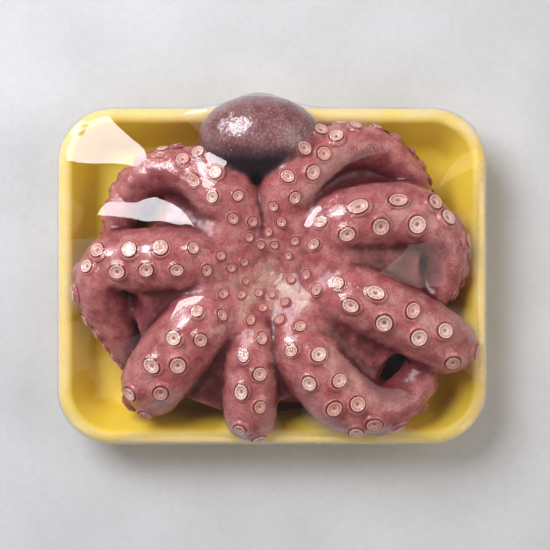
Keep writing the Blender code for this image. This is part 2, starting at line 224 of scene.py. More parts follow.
def normals_of(mesh: Mesh) -> np.ndarray:
    """A mesh's vertex normals as an array of rows."""
    values = np.empty(3 * len(mesh.vertices))
    mesh.vertex_normals.foreach_get("vector", values)
    return values.reshape(-1, 3)


def search_tree(places: Sequence[Sequence[float]]) -> KDTree:
    """A search tree over places, which it knows by their numbers."""
    tree = KDTree(len(places))
    for index, where in enumerate(places):
        tree.insert(where, index)
    tree.balance()
    return tree


def levelled(mesh: Mesh, rounds: int = 60) -> np.ndarray:
    """Where a mesh's vertices would lie if its surface were smoothed.

    Args:
        mesh: the mesh, which stays as it is.
        rounds: how many times each vertex moves halfway to the mean of its neighbours.

    Returns:
        The smoothed places, as an array of rows.
    """
    level = points_of(mesh)
    edges = np.empty(2 * len(mesh.edges), int)
    mesh.edges.foreach_get("vertices", edges)
    start, end = edges.reshape(-1, 2).T
    count = np.bincount(edges, minlength=len(level))
    for _ in range(rounds):
        for axis in range(3):
            total = np.bincount(start, level[end, axis], len(level))
            total += np.bincount(end, level[start, axis], len(level))
            level[:, axis] = 0.5 * level[:, axis] + 0.5 * total / count
    return level


def set_points(mesh: Mesh, points: np.ndarray) -> None:
    """Move a mesh's vertices."""
    mesh.vertices.foreach_set("co", points.ravel())
    mesh.update()


def set_tone(mesh: Mesh, name: str, values: np.ndarray) -> None:
    """Store one number for each vertex, for a material to read."""
    mesh.attributes.new(name, "FLOAT", "POINT").data.foreach_set("value", np.asarray(values, np.float32))


def skin_rows(rows: Sequence[Sequence[Vector]], close_first: bool, close_last: bool) -> BMesh:
    """Skin a row of rings that have the same number of points.

    Args:
        rows: the rings.
        close_first: whether the first ring gets a face.
        close_last: whether the last ring gets a face.

    Returns:
        The skin.
    """
    bm = bmesh.new()
    corners = [[bm.verts.new(point) for point in row] for row in rows]
    count = len(corners[0])
    for lower, upper in zip(corners, corners[1:]):
        for i in range(count):
            bm.faces.new((lower[i], lower[(i + 1) % count], upper[(i + 1) % count], upper[i]))
    if close_first:
        bm.faces.new(corners[0])
    if close_last:
        bm.faces.new(corners[-1])
    return bm


# ----------------------------------------------------------------- the tray


@dataclass(frozen=True)
class FoamFinish:
    """Expanded polystyrene, thermoformed: closed cells under a skin give a soft, slightly pebbled sheen."""

    colour: str = "#FFE056"
    shade: str = "#FFD744"
    cell: float = 1.1 * MM  # the cells that show through the skin
    roughness: float = 0.42

    def material(self) -> Material:
        """Make the foam."""
        material, tree, surface = new_material("expanded polystyrene")
        place_in = add_node(tree, "TexCoord").outputs["Object"]
        cloud = add_node(tree, "TexNoise", {"Scale": 1 / (22 * MM), "Detail": 3.0}, Vector=place_in)
        tint = add_node(
            tree, "ValToRGB", {"stops": ((0.35, self.shade), (0.7, self.colour))}, Fac=cloud.outputs["Fac"]
        )
        cell_look = {"Scale": 1 / self.cell, "feature": "SMOOTH_F1"}
        cells = add_node(tree, "TexVoronoi", cell_look, Vector=place_in)
        pebbling = {"Strength": 0.12, "Distance": 0.1 * MM, "invert": True}
        relief = add_node(tree, "Bump", pebbling, Height=cells.outputs["Distance"])
        shader = add_node(
            tree,
            "BsdfPrincipled",
            {
                "Roughness": self.roughness,
                "Subsurface Weight": 0.3,
                "Subsurface Radius": (5 * MM, 3 * MM, 1.5 * MM),
                "Subsurface Scale": 1.0,
                "Specular IOR Level": 0.4,
            },
            Base_Color=tint.outputs["Color"],
            Normal=relief.outputs["Normal"],
        )
        tree.links.new(shader.outputs["BSDF"], surface)
        return material


@dataclass
class FoamTray:
    """The thermoformed tray: a rounded rectangle with a rolled rim and leaning walls."""

    length: float = TRAY_HIGH.x - TRAY_LOW.x
    width: float = TRAY_HIGH.y - TRAY_LOW.y
    corner: float = 30 * MM
    corner_steps: int = 18
    foam: float = 4.2 * MM
    rim: float = 8 * MM
    wall: float = 10 * MM
    edge: float = 0.9 * MM  # the rounding of its edges
    finish: FoamFinish = field(default_factory=FoamFinish)

    @property
    def floor(self) -> float:
        """The height of the floor that the food lies on."""
        return BASE + self.foam + 0.2 * MM

    def profile(self) -> list[tuple[float, float]]:
        """The upper surface from the rim's outer edge to the floor, as (inset, height)."""
        foot = self.rim + self.wall
        return [
            (0, RIM_TOP - 4.2 * MM),
            (0, RIM_TOP - 2.6 * MM),
            (0.5 * MM, RIM_TOP - 1.5 * MM),
            (1.6 * MM, RIM_TOP - 0.55 * MM),
            (2.8 * MM, RIM_TOP - 0.12 * MM),
            (4 * MM, RIM_TOP),
            (5.2 * MM, RIM_TOP - 0.12 * MM),
            (6.4 * MM, RIM_TOP - 0.6 * MM),
            (7.4 * MM, RIM_TOP - 1.5 * MM),
            (self.rim + 0.2 * MM, RIM_TOP - 2.8 * MM),
            (foot - 0.6 * MM, self.floor + 5 * MM),
            (foot + 0.6 * MM, self.floor + 3.1 * MM),
            (foot + 2.4 * MM, self.floor + 1.6 * MM),
            (foot + 5 * MM, self.floor + 0.5 * MM),
            (foot + 9 * MM, self.floor),
        ]

    def inset(self, x: Any, y: Any) -> Any:
        """How far in from the rim's outer edge a place is, for numbers or arrays."""
        past_x = np.abs(x) - (self.length / 2 - self.corner)
        past_y = np.abs(y) - (self.width / 2 - self.corner)
        round_part = np.hypot(np.maximum(past_x, 0), np.maximum(past_y, 0))
        return self.corner - round_part - np.minimum(np.maximum(past_x, past_y), 0)

    def height(self, x: Any, y: Any) -> Any:
        """The height of the tray's upper surface, level beyond the crest of the rim."""
        insets, heights = zip(*self.profile()[5:])
        return np.interp(np.maximum(self.inset(x, y), insets[0]), insets, heights)

    def outline(self, inset: float, height: float, count: int) -> list[Vector]:
        """A ring of points round the tray.

        Args:
            inset: how far in from the rim's outer edge, or out where it is negative.
            height: the ring's height.
            count: the number of points, which stand on the same rays for every inset.

        Returns:
            The points, anticlockwise.
        """
        ring = []
        straight_x, straight_y = self.length - 2 * self.corner, self.width - 2 * self.corner
        arc = self.corner * math.pi / 2
        lengths = (straight_y / 2, arc, straight_x, arc, straight_y, arc, straight_x, arc, straight_y / 2)
        half_x, half_y = straight_x / 2, straight_y / 2
        centres = ((half_x, half_y), (-half_x, half_y), (-half_x, -half_y), (half_x, -half_y))
        radius = self.corner - inset
        for step in range(count):
            along = sum(lengths) * step / count
            leg = 0
            while along > lengths[leg]:
                along -= lengths[leg]
                leg += 1
            quarter = leg // 2
            if leg % 2:
                turn = (quarter + along / arc) * math.pi / 2
                x, y = centres[quarter]
            else:
                turn = quarter * math.pi / 2
                start = Vector(centres[(quarter - 1) % 4]) if leg else Vector((half_x, 0))
                x, y = start + along * Vector((-math.sin(turn), math.cos(turn)))
            reach_x = radius * math.cos(turn) if radius > 0 or leg % 2 == 0 else 0
            reach_y = radius * math.sin(turn) if radius > 0 or leg % 2 == 0 else 0
            ring.append(Vector((x + reach_x, y + reach_y, height)))
        return ring

    def build(self) -> Object:
        """Model the tray: a plate with rounded corners, terraced in from its rim, with a foam wall."""
        (_, lip), *profile = self.profile()
        deselect()
        bpy.ops.mesh.primitive_plane_add(size=1, location=(0, 0, lip))
        tray = bpy.context.object
        tray.name = "foam_tray"
        bpy.ops.transform.resize(value=(self.length, self.width, 1))
        bpy.ops.object.transform_apply(location=True, rotation=True, scale=True)
        bpy.ops.object.mode_set(mode="EDIT")
        bpy.ops.mesh.select_all(action="SELECT")
        bpy.ops.mesh.bevel(offset=self.corner, segments=self.corner_steps, affect="VERTICES")
        bpy.ops.object.mode_set(mode="OBJECT")
        steps = []
        inset, height = 0, lip
        for next_inset, next_height in profile:
            steps.append((next_inset - inset, next_height - height))
            inset, height = next_inset, next_height
        terrace(steps)
        apply_modifier(tray, "SOLIDIFY", thickness=self.foam, offset=-1, use_even_offset=True)
        apply_modifier(
            tray, "BEVEL", width=self.edge, segments=3, limit_method="ANGLE", angle_limit=math.radians(50)
        )
        tray.data.shade_smooth()
        finish_piece(tray, self.finish.material(), "tray")
        return tray


# -------------------------------------------------------------- the octopus


@dataclass(frozen=True)
class SkinFinish:
    """Raw octopus skin: thin, wet and slightly translucent, over pale flesh, mottled by its pigment cells."""

    flank: str = "#8A3E44"
    oral: str = "#C46A6C"
    blush: str = "#DDA29C"
    # painted light: the paler tone laid on ridges and raised skin
    ridge: str = "#DA8A86"
    # painted shade: the dark maroon laid in valleys and low in the tray
    groove: str = "#5A1A1E"
    crown: str = "#DCB29C"
    lips: str = "#8A8C8E"
    mantle: str = "#B08480"
    net: str = "#906468"
    # painted shade: the dark navy laid on the mantle's half towards the arms
    ink: str = "#1E1C2A"

    def tone(self, tree: NodeTree, name: str) -> NodeSocket:
        """The value that is stored on the mesh under a name."""
        return add_node(tree, "Attribute", {"attribute_name": name}).outputs["Fac"]

    def colour(self, tree: NodeTree) -> NodeSocket:
        """The skin's colour, from where on the animal it is and from the mottling of its pigment.

        Ridges get painted light; valleys, low places and the mantle's half towards the arms get painted
        shade.

        Args:
            tree: the node tree to build it in.

        Returns:
            The colour socket.
        """
        place_in = add_node(tree, "TexCoord").outputs["Object"]
        cloud = add_node(tree, "TexNoise", {"Scale": 1 / (9 * MM), "Detail": 4.0}, Vector=place_in)
        cells = add_node(
            tree, "TexVoronoi", {"Scale": 1 / (2.2 * MM), "feature": "DISTANCE_TO_EDGE"}, Vector=place_in
        )
        net = add_node(
            tree, "ValToRGB", {"stops": ((0.02, self.net), (0.3, self.mantle))}, Fac=cells.outputs["Distance"]
        )
        blushed = add_node(
            tree, "ValToRGB", {"stops": ((0.38, self.oral), (0.72, self.blush))}, Fac=cloud.outputs["Fac"]
        )
        skin = add_node(
            tree,
            "MixRGB",
            {"Color1": linear(self.flank)},
            Fac=self.tone(tree, "oral"),
            Color2=blushed.outputs["Color"],
        )
        for name, colour in (
            # painted light on ridges
            ("ridge", self.ridge),
            ("crown", self.crown),
            ("mouth", self.lips),
            ("mantle", None),
            # painted shade in valleys and low in the tray
            ("hollow", self.groove),
            # painted shade on the mantle's half towards the arms
            ("ink", self.ink),
        ):
            links = {"Fac": self.tone(tree, name), "Color1": skin.outputs["Color"]}
            if colour is None:
                skin = add_node(tree, "MixRGB", {}, Color2=net.outputs["Color"], **links)
            else:
                skin = add_node(tree, "MixRGB", {"Color2": linear(colour)}, **links)
        for size, low in ((1.2 * MM, "#D4C8CA"), (7 * MM, "#D4B4B8")):
            spots = add_node(tree, "TexNoise", {"Scale": 1 / size, "Detail": 3.0}, Vector=place_in)
            pigment = add_node(
                tree, "ValToRGB", {"stops": ((0.34, low), (0.6, "#FFFFFF"))}, Fac=spots.outputs["Fac"]
            )
            skin = add_node(
                tree,
                "MixRGB",
                {"blend_type": "MULTIPLY", "Fac": 0.85},
                Color1=skin.outputs["Color"],
                Color2=pigment.outputs["Color"],
            )
        return skin.outputs["Color"]

    def shade(self, name: str, colour_of: Any, grain: float, roughness: float) -> Material:
        """Make a wet flesh.

        Args:
            name: the material's name.
            colour_of: a function that takes the node tree and gives the colour socket.
            grain: the size of the relief on it.
            roughness: how dull its wet surface is.

        Returns:
            The material.
        """
        material, tree, surface = new_material(name)
        place_in = add_node(tree, "TexCoord").outputs["Object"]
        pores = add_node(tree, "TexNoise", {"Scale": 1 / grain, "Detail": 3.0}, Vector=place_in)
        unevenness = {"Strength": 0.25, "Distance": 0.25 * MM}
        relief = add_node(tree, "Bump", unevenness, Height=pores.outputs["Fac"])
        shader = add_node(
            tree,
            "BsdfPrincipled",
            {
                "Roughness": roughness,
                "IOR": 1.38,
                "Subsurface Weight": 0.18,
                "Subsurface Radius": (2.2 * MM, 0.8 * MM, 0.5 * MM),
                "Subsurface Scale": 1.0,
                "Coat Weight": 0.35,
                "Coat Roughness": 0.12,
            },
            Base_Color=colour_of(tree),
            Normal=relief.outputs["Normal"],
        )
        tree.links.new(shader.outputs["BSDF"], surface)
        return material

    def material(self) -> Material:
        """Make the skin."""
        return self.shade("wet octopus skin", self.colour, 1.3 * MM, 0.36)


@dataclass(frozen=True)
class SuckerFinish:
    """Sucker flesh: pale cream muscle, pink towards the rim, in a groove and a collar of skin.

    A painted highlight lies on the rim's crest; the groove's dark ring is partly pigment and partly painted
    shade; the hole and the dish's rays are darkened as painted shade.
    """

    skin: SkinFinish
    # painted shade: the dark tint laid in the sucker's hole
    hole: str = "#A08C74"
    stops: tuple[tuple[float, str], ...] = (
        # the darker middle stops are painted shade in the hole
        (0.0, "#A0928A"),
        (0.09, "#B8A79E"),
        (0.16, "#E4CEC4"),
        (0.27, "#FBE8DE"),
        (0.4, "#F6DAD0"),
        (0.5, "#EABEB4"),
        # painted highlight on the rim's crest
        (0.57, "#FFF2EC"),
        (0.605, "#E0AAA2"),
        # the dark ring in the groove: partly pigment, partly painted shade
        (0.635, "#7A3236"),
        (0.67, "#6A262A"),
        (0.71, "#C07470"),
    )

    def colour(self, tree: NodeTree) -> NodeSocket:
        """The sucker's colour, by how far out from its middle a place is, with painted shade in its hole and
        rays.
        """
        outwards = self.skin.tone(tree, "outwards")
        colour = add_node(tree, "ValToRGB", {"stops": self.stops}, Fac=outwards)
        # painted shade: the middle darkens towards the hole's tint, most on small suckers
        middle = add_node(tree, "MapRange", {"From Min": 0.19, "From Max": 0.1}, Value=outwards)
        hole_shade = add_node(
            tree,
            "Math",
            {"operation": "MULTIPLY"},
            **{"0": middle.outputs["Result"], "1": self.skin.tone(tree, "open")},
        )
        for share, tint, blend in (
            # painted shade in the hole
            (hole_shade.outputs["Value"], self.hole, "MIX"),
            # painted shade in the rays of the dish
            (self.skin.tone(tree, "ray"), "#E0C0B2", "MULTIPLY"),
            (self.skin.tone(tree, "blush"), "#DCA8A0", "MULTIPLY"),
        ):
            colour = add_node(
                tree,
                "MixRGB",
                {"blend_type": blend, "Color2": linear(tint)},
                Fac=share,
                Color1=colour.outputs["Color"],
            )
        edge = add_node(
            tree,
            "MapRange",
            {"From Min": 0.73, "From Max": 0.84, "interpolation_type": "SMOOTHSTEP"},
            Value=outwards,
        )
        whole = add_node(
            tree,
            "MixRGB",
            {},
            Fac=edge.outputs["Result"],
            Color1=colour.outputs["Color"],
            Color2=self.skin.colour(tree),
        )
        return whole.outputs["Color"]

    def material(self) -> Material:
        """Make the suckers' flesh."""
        return self.skin.shade("wet sucker flesh", self.colour, 0.8 * MM, 0.33)


@dataclass(frozen=True)
class Arm:
    """One arm, as a run over the crown, a fold, and a tail that lies under its neighbours.

    Angles are in degrees and anticlockwise seen from above; lengths are in millimetres.
    """

    letter: str
    girth: float  # half the widest width
    bearing: float  # the way it leaves the mouth
    run: float
    sway: float  # how far the run turns to the side
    fold: float
    turn: float  # how far the fold turns to the side
    dive: float  # how far the fold turns down
    tail: float
    roll: float  # how far the suckers roll to the outside of the fold
    sucker: float  # the widest sucker's diameter
    spacing: float  # from one sucker to the next in the other row, as a share of the diameter
    web: float  # how far the web between this arm and the next one reaches along them


ARMS = (
    Arm("a", 17, 112, 46, 26, 64, 116, 9, 30, 84, 8.2, 0.88, 76),
    Arm("b", 18, 170, 70, 16, 30, 110, -4, 56, 60, 8.6, 0.88, 80),
    Arm("c", 19.5, 214, 71, 22, 46, 0, -150, 30, 0, 8.8, 0.94, 88),
    Arm("d", 15.5, 256, 62, 14, 46, 0, -150, 30, 0, 7.8, 1.1, 77),
    Arm("e", 18.5, 288, 67, 24, 74, 150, 10, 22, 84, 8.6, 0.98, 91),
    Arm("f", 18, 346, 88, -18, 46, 0, -150, 30, 0, 9.4, 1.04, 95),
    Arm("g", 18, 41, 71, -42, 58, -125, 6, 24, -72, 9.6, 1.0, 90),
    Arm("h", 17, 84, 46, -30, 90, -136, 10, 18, -84, 8.2, 0.9, 40),
)


@dataclass(frozen=True)
class Lump:
    """A rounded lump of the body: its middle and its half sizes, in millimetres."""

    middle: tuple[float, float, float]
    half: tuple[float, float, float]

    def reach(self, points: np.ndarray) -> np.ndarray:
        """How far out points are, as a share of the lump's own reach."""
        return np.linalg.norm((points / MM - self.middle) / self.half, axis=1)


MANTLE = Lump((-7, 75.5, 41), (33, 22.5, 20))
BODY_LUMPS = (
    Lump((-2, 3.5, 30), (46, 46, 12)),  # the crown
    Lump((-1, 0, 20), (76, 64, 24)),  # its webs
    Lump((0, -3, 12), (94, 74, 17)),  # arms folded under it
    Lump((-6, 56, 24), (27, 26, 16)),  # the neck
    Lump((74, -50, 10), (15, 14, 11)),  # an arm's tail under the hole beside the fold of arm e
)
MOUTH = Vector((-2 * MM, 3.5 * MM, 40 * MM))


@dataclass
class ArmPath:
    """The line that an arm follows, with its half width and the way its suckers face."""

    arm: Arm
    floor: float
    start: float = 10 * MM  # how far from the mouth the arm's own form begins
    rise: float = math.radians(13)  # how steeply it climbs from the mouth
    root: float = 5 * MM
    tip: float = 6 * MM
    swell: float = 38 * MM  # how far from its start it reaches its full girth
    flatness: float = 0.8  # the sucker side is flatter than the back
    fullness: float = 1.4  # how long the arm stays thick in its fold
    haste: float = 1.9  # how many times faster than the arm folds its suckers roll over
    first: float = 4 * MM  # how far along the arm its first sucker sits
    smallest: float = 4 * MM  # that sucker's diameter
    growth: float = 46 * MM  # how far along the arm the largest ones come
    loose: float = 0.5  # how much wider apart the first ones sit
    crowd: float = 0.8  # how much closer together they sit in the fold and the tail
    places: list[Vector] = field(default_factory=list)
    alongs: list[Vector] = field(default_factory=list)
    orals: list[Vector] = field(default_factory=list)

    def __post_init__(self) -> None:
        """Walk along the arm a millimetre at a time."""
        self.length = (self.arm.run + self.arm.fold + self.arm.tail) * MM
        here = MOUTH + self.start * self.heading(0)
        frame_along, frame_oral = self.heading(0), UP
        steps = round(self.length / MM)
        for step in range(steps + 1):
            distance = self.length * step / steps
            along = self.heading(distance)
            frame_oral = frame_along.rotation_difference(along) @ frame_oral
            frame_along = along
            roll = math.radians(self.arm.roll) * smooth_step(self.fold_share(distance) * self.haste)
            self.places.append(here.copy())
            self.alongs.append(along)
            self.orals.append((Matrix.Rotation(roll, 3, along) @ frame_oral).normalized())
            here += along * (self.length / steps)
            here.z = max(here.z, self.floor + self.flatness * self.half_width(distance))

    def fold_share(self, distance: float) -> float:
        """How far through the fold a distance along the arm is, from 0 to 1."""
        return min(max((distance / MM - self.arm.run) / self.arm.fold, 0), 1)

    def heading(self, distance: float) -> Vector:
        """The way the arm runs at a distance along it."""
        on_run = min(distance / MM / self.arm.run, 1)
        on_fold = self.fold_share(distance)
        yaw = math.radians(self.arm.bearing + self.arm.sway * on_run + self.arm.turn * on_fold)
        pitch = self.rise * (1 - 2 * on_run) + math.radians(self.arm.dive) * on_fold
        level = math.cos(pitch)
        return Vector((math.cos(yaw) * level, math.sin(yaw) * level, math.sin(pitch)))

    def half_width(self, distance: float) -> float:
        """The arm's half width: it swells from the mouth, and tapers from the fold to the tip."""
        girth = self.arm.girth * MM
        swollen = self.root + (girth - self.root) * float(smooth_step(distance / self.swell))
        past_run = max(distance - self.arm.run * MM, 0) / (self.length - self.arm.run * MM)
        width = swollen + (self.tip - girth) * past_run**self.fullness
        to_end = max(self.length - distance, 0)
        if to_end < width:
            width *= math.sqrt(max(1 - (1 - to_end / width) ** 2, 0.04))
        return width

    def at(self, distance: float) -> tuple[Vector, Vector, Vector, Vector]:
        """The place, the way along, the way the suckers face and the way to the side, at a distance."""
        index = min(round(distance / MM), len(self.places) - 1)
        along, oral = self.alongs[index], self.orals[index]
        return self.places[index], along, oral, along.cross(oral)

    def rings(self, step: float, sides: int) -> Iterator[list[Vector]]:
        """The arm's cross-sections, flatter on the sucker side.

        Args:
            step: how far apart they are.
            sides: how many points each has.

        Yields:
            One ring of points after another.
        """
        for distance in np.arange(0, self.length + step / 2, step).tolist():
            centre, _, oral, side = self.at(distance)
            half = self.half_width(distance)
            ring = []
            for turn in full_turn(sides):
                lift = math.sin(turn) * (self.flatness if math.sin(turn) > 0 else 1)
                ring.append(centre + half * (side * math.cos(turn) + oral * lift))
            yield ring

    def suckers(self) -> Iterator[tuple[float, int, float]]:
        """Two rows of suckers that alternate along the arm, wide apart at first and crowded in the fold.

        Yields:
            Each sucker's distance along the arm, its side, and its diameter.
        """
        distance, row = self.first, 1
        while distance < self.length - self.tip:
            grown = min(distance / self.growth, 1)
            diameter = self.smallest + (self.arm.sucker * MM - self.smallest) * grown
            step = self.arm.spacing * diameter * (1 + self.loose * (1 - grown))
            if distance > self.arm.run * MM:
                taper = self.half_width(distance) / (self.arm.girth * MM)
                diameter *= taper
                step *= taper * self.crowd
            yield distance, row, diameter
            distance += step
            row = -row


@dataclass
class Web:
    """The web between two neighbouring arms: a thick sheet from shoulder to shoulder that sags in between."""

    first: ArmPath
    second: ArmPath
    shoulder: float = 0.8  # how high on the arms it starts, as a share of their half width
    fall: float = 0.36  # how much lower on them it ends
    sag: float = 7.5 * MM
    bow: float = 0.16  # how far its free edge draws in, as a share of its reach
    thickness: float = 13 * MM
    columns: int = 16
    step: float = 3 * MM

    @property
    def reach(self) -> float:
        """How far out along the arms it goes."""
        return self.first.arm.web * MM

    def point(self, distance: float, across: float) -> Vector:
        """A point of the sheet's upper side.

        Args:
            distance: how far out along the arms.
            across: the share of the way from the first arm to the second.

        Returns:
            The point.
        """
        hollow = math.sin(math.pi * across)
        distance *= 1 - self.bow * hollow
        outwards = float(smooth_step(1.25 * distance / self.reach))
        ends = []
        for path in (self.first, self.second):
            centre = path.at(distance)[0].copy()
            centre.z += (self.shoulder - self.fall * outwards) * path.half_width(distance)
            ends.append(centre)
        middle = ends[0].lerp(ends[1], across)
        middle.z -= self.sag * hollow * outwards
        return middle

    def build(self) -> Object:
        """Model the sheet as a closed loft whose rings go over the top and back underneath."""
        rows = []
        for distance in np.linspace(0, self.reach, round(self.reach / self.step)).tolist():
            upper = [self.point(distance, i / self.columns) for i in range(self.columns + 1)]
            lower = [point - self.thickness * UP for point in reversed(upper)]
            rows.append(upper + lower)
        bm = skin_rows(rows, close_first=True, close_last=True)
        bmesh.ops.recalc_face_normals(bm, faces=bm.faces)
        mesh = bpy.data.meshes.new("web_" + self.first.arm.letter)
        bm.to_mesh(mesh)
        bm.free()
        return place(mesh.name, mesh)


@dataclass
class Seat:
    """Where a sucker sits on the skin."""

    middle: Vector
    out: Vector
    along: Vector
    diameter: float


@dataclass
class Sucker:
    """One sucker of unit radius, modelled once: collar of skin, groove, flared rim, rayed dish and hole."""

    sides: int = 20
    # From the collar's hidden foot in to the middle, as (radius, height).
    profile: tuple[tuple[float, float], ...] = (
        (1.6, -0.42),
        (1.42, -0.06),
        (1.3, 0.1),
        (1.2, 0.1),
        (1.12, -0.02),
        (1.04, -0.04),
        (1.0, 0.1),
        (0.99, 0.27),
        (0.95, 0.35),
        (0.86, 0.36),
        (0.74, 0.26),
        (0.56, 0.18),
        (0.38, 0.14),
        (0.27, 0.03),
        (0.16, -0.08),
        (0.05, -0.1),
    )
    dish: tuple[float, float] = (0.4, 0.8)  # between these radii lie the rays
    ray_depth: float = 0.05

    def build(self) -> tuple[np.ndarray, list[list[int]], dict[str, np.ndarray]]:
        """Model the sucker by terracing a round plate.

        Returns:
            Its points, its faces, and by name each point's share of the way out from the middle and of a ray.
        """
        (foot, low), *profile = self.profile
        deselect()
        bpy.ops.mesh.primitive_circle_add(vertices=self.sides, radius=foot, fill_type="NGON")
        cup = bpy.context.object
        steps = []
        radius, height = foot, low
        squeeze = math.cos(math.pi / self.sides)  # an inset is measured to a side, not to a corner
        for next_radius, next_height in profile:
            steps.append(((radius - next_radius) * squeeze, next_height - height))
            radius, height = next_radius, next_height
        terrace(steps)
        points = points_of(cup.data)
        points[:, 2] += low
        reach = np.hypot(points[:, 0], points[:, 1])
        order = np.round(np.arctan2(points[:, 1], points[:, 0]) / (2 * math.pi) * self.sides).astype(int)
        inner, outer = self.dish
        ray = (reach > inner) & (reach < outer) & (order % 2 == 0)
        points[ray, 2] -= self.ray_depth
        faces = [list(face.vertices) for face in cup.data.polygons]
        bpy.data.objects.remove(cup)
        return points, faces, {"outwards": reach / foot, "ray": ray.astype(float)}


@dataclass
class Octopus:
    """The whole animal: skin over mantle, crown, webs and arms, with its suckers and its mouth."""

    tray: FoamTray
    voxel: float = 1.25 * MM
    ease: int = 24
    rest_gap: float = 0.6 * MM
    skin: SkinFinish = field(default_factory=SkinFinish)
    spread: float = 0.42  # how far the two rows stand off the middle of the sucker side, as a slope
    wander: float = 0.05  # how much that slope varies from sucker to sucker
    apart: float = 0.52  # the least gap between two suckers' middles, as a share of their diameters' sum
    tilt: float = 0.06  # how far suckers lean off square to the skin, as a slope
    squeeze: float = 0.07  # how far suckers are from round
    collar: float = 0.26  # how far the skin swells under a sucker, as a share of its radius
    collar_width: float = 1.25  # of that swelling, likewise
    mouth: float = 7 * MM
    mouth_folds: int = 11
    fold_height: float = 0.2 * MM
    lip: float = 0.9 * MM  # how far the skin round the mouth stands up
    pit: float = 1.3 * MM  # how deep the middle of the mouth lies
    swell: float = 0.45 * MM  # the skin's broad relief
    crease: float = 0.3 * MM  # its fine relief
    rim_share: float = 0.92  # of a sucker's diameter, inside its dark groove
    seed: int = 8
    seats: list[Seat] = field(default_factory=list)

    def __post_init__(self) -> None:
        """Lay the arms' lines."""
        self.paths = [ArmPath(arm, self.tray.floor) for arm in ARMS]
        self.random = np.random.default_rng(self.seed)

    def settle(self, mesh: Mesh) -> None:
        """Press whatever would sink into the foam up to rest on it."""
        points = points_of(mesh)
        points[:, 2] = np.maximum(points[:, 2], self.tray.height(points[:, 0], points[:, 1]) + self.rest_gap)
        set_points(mesh, points)

    def block_out(self) -> Object:
        """Join arms and lumps into one skin.

        Returns:
            The skin, without its fine relief.
        """
        lumps = []
        for lump in (MANTLE, *BODY_LUMPS):
            deselect()
            bpy.ops.mesh.primitive_uv_sphere_add(segments=64, ring_count=40, radius=1)
            bpy.ops.transform.resize(value=[size * MM for size in lump.half])
            bpy.ops.transform.translate(value=[size * MM for size in lump.middle])
            bpy.ops.object.transform_apply(location=True, rotation=True, scale=True)
            lumps.append(bpy.context.object)
        for path in self.paths:
            bm = skin_rows(list(path.rings(2 * MM, 32)), close_first=True, close_last=True)
            bmesh.ops.recalc_face_normals(bm, faces=bm.faces)
            mesh = bpy.data.meshes.new("arm_" + path.arm.letter)
            bm.to_mesh(mesh)
            bm.free()
            lumps.append(place(mesh.name, mesh))
        for path, neighbour in zip(self.paths, self.paths[1:] + self.paths[:1]):
            lumps.append(Web(path, neighbour).build())
        choose(*lumps)
        bpy.ops.object.join()
        flesh = bpy.context.object
        flesh.name = "octopus_skin"
        self.settle(flesh.data)
        apply_modifier(flesh, "REMESH", mode="VOXEL", voxel_size=self.voxel)
        apply_modifier(flesh, "SMOOTH", factor=0.5, iterations=self.ease)
        self.settle(flesh.data)
        return flesh

    def crowded(self, middle: Vector, diameter: float) -> bool:
        """Whether a sucker would sit too close to one that is there already."""
        pairs = (((middle - seat.middle).length, diameter + seat.diameter) for seat in self.seats)
        return any(gap < self.apart * both for gap, both in pairs)

    def seat_suckers(self, flesh: Object) -> None:
        """Find where each sucker sits on the skin, from the mouth out along every arm."""
        tree = BVHTree.FromObject(flesh, bpy.context.evaluated_depsgraph_get())
        for path in self.paths:
            for distance, row, diameter in path.suckers():
                centre, along, oral, side = path.at(distance)
                half = path.half_width(distance)
                aim = (oral + row * (self.spread + self.random.normal(0, self.wander)) * side).normalized()
                hit, out, _, _ = tree.ray_cast(centre + 3 * half * aim, -aim, 3 * half)
                if hit is None or (hit - centre).length > 1.5 * half + 6 * MM:
                    continue  # another arm lies over this place
                if hit.z < self.tray.height(hit.x, hit.y) + 0.4 * diameter:
                    continue  # the foam leaves no room for it
                if self.crowded(hit, diameter):
                    continue
                jitter = Vector(self.random.normal(0, self.tilt, 3))
                size = diameter * float(self.random.uniform(0.92, 1.08))
                self.seats.append(Seat(hit, (out + jitter).normalized(), along, size))

    def raise_collars(self, flesh: Object) -> None:
        """Swell the skin under each sucker."""
        points, normals = points_of(flesh.data), normals_of(flesh.data)
        tree = search_tree(points)
        lift = np.zeros(len(points))
        for seat in self.seats:
            radius = 0.5 * seat.diameter
            for _, index, away in tree.find_range(seat.middle, 2.2 * radius):
                swell = self.collar * radius * math.exp(-((away / (self.collar_width * radius)) ** 2))
                lift[index] = max(lift[index], swell)
        set_points(flesh.data, points + normals * lift[:, None])

    def pucker(self, flesh: Object) -> None:
        """Draw the skin round the mouth into radial folds, with a pit in the middle."""
        points = points_of(flesh.data)
        away = points - np.array(MOUTH)
        reach = np.hypot(away[:, 0], away[:, 1])
        near = np.exp(-((reach / self.mouth) ** 2)) * (points[:, 2] > MOUTH.z - 8 * MM)
        turn = np.arctan2(away[:, 1], away[:, 0])
        inner = reach / (0.35 * self.mouth)
        folds = np.cos(self.mouth_folds * turn + 2 * np.sin(3 * turn)) * smooth_step(inner)
        points[:, 2] += near * (self.fold_height * folds + self.lip)
        points[:, 2] -= self.pit * np.exp(-(inner**2)) * (near > 0)
        set_points(flesh.data, points)

    def wrinkle(self, flesh: Object) -> None:
        """Give the skin its uneven relief."""
        points, normals = points_of(flesh.data), normals_of(flesh.data)
        lift = np.empty(len(points))
        for index, point in enumerate(points):
            where = Vector(point)
            broad = noise.fractal(where / (14 * MM), 1.0, 2.0, 3)
            fine = noise.turbulence(where / (4 * MM), 3, False)
            lift[index] = self.swell * broad - self.crease * fine
        set_points(flesh.data, points + normals * lift[:, None])

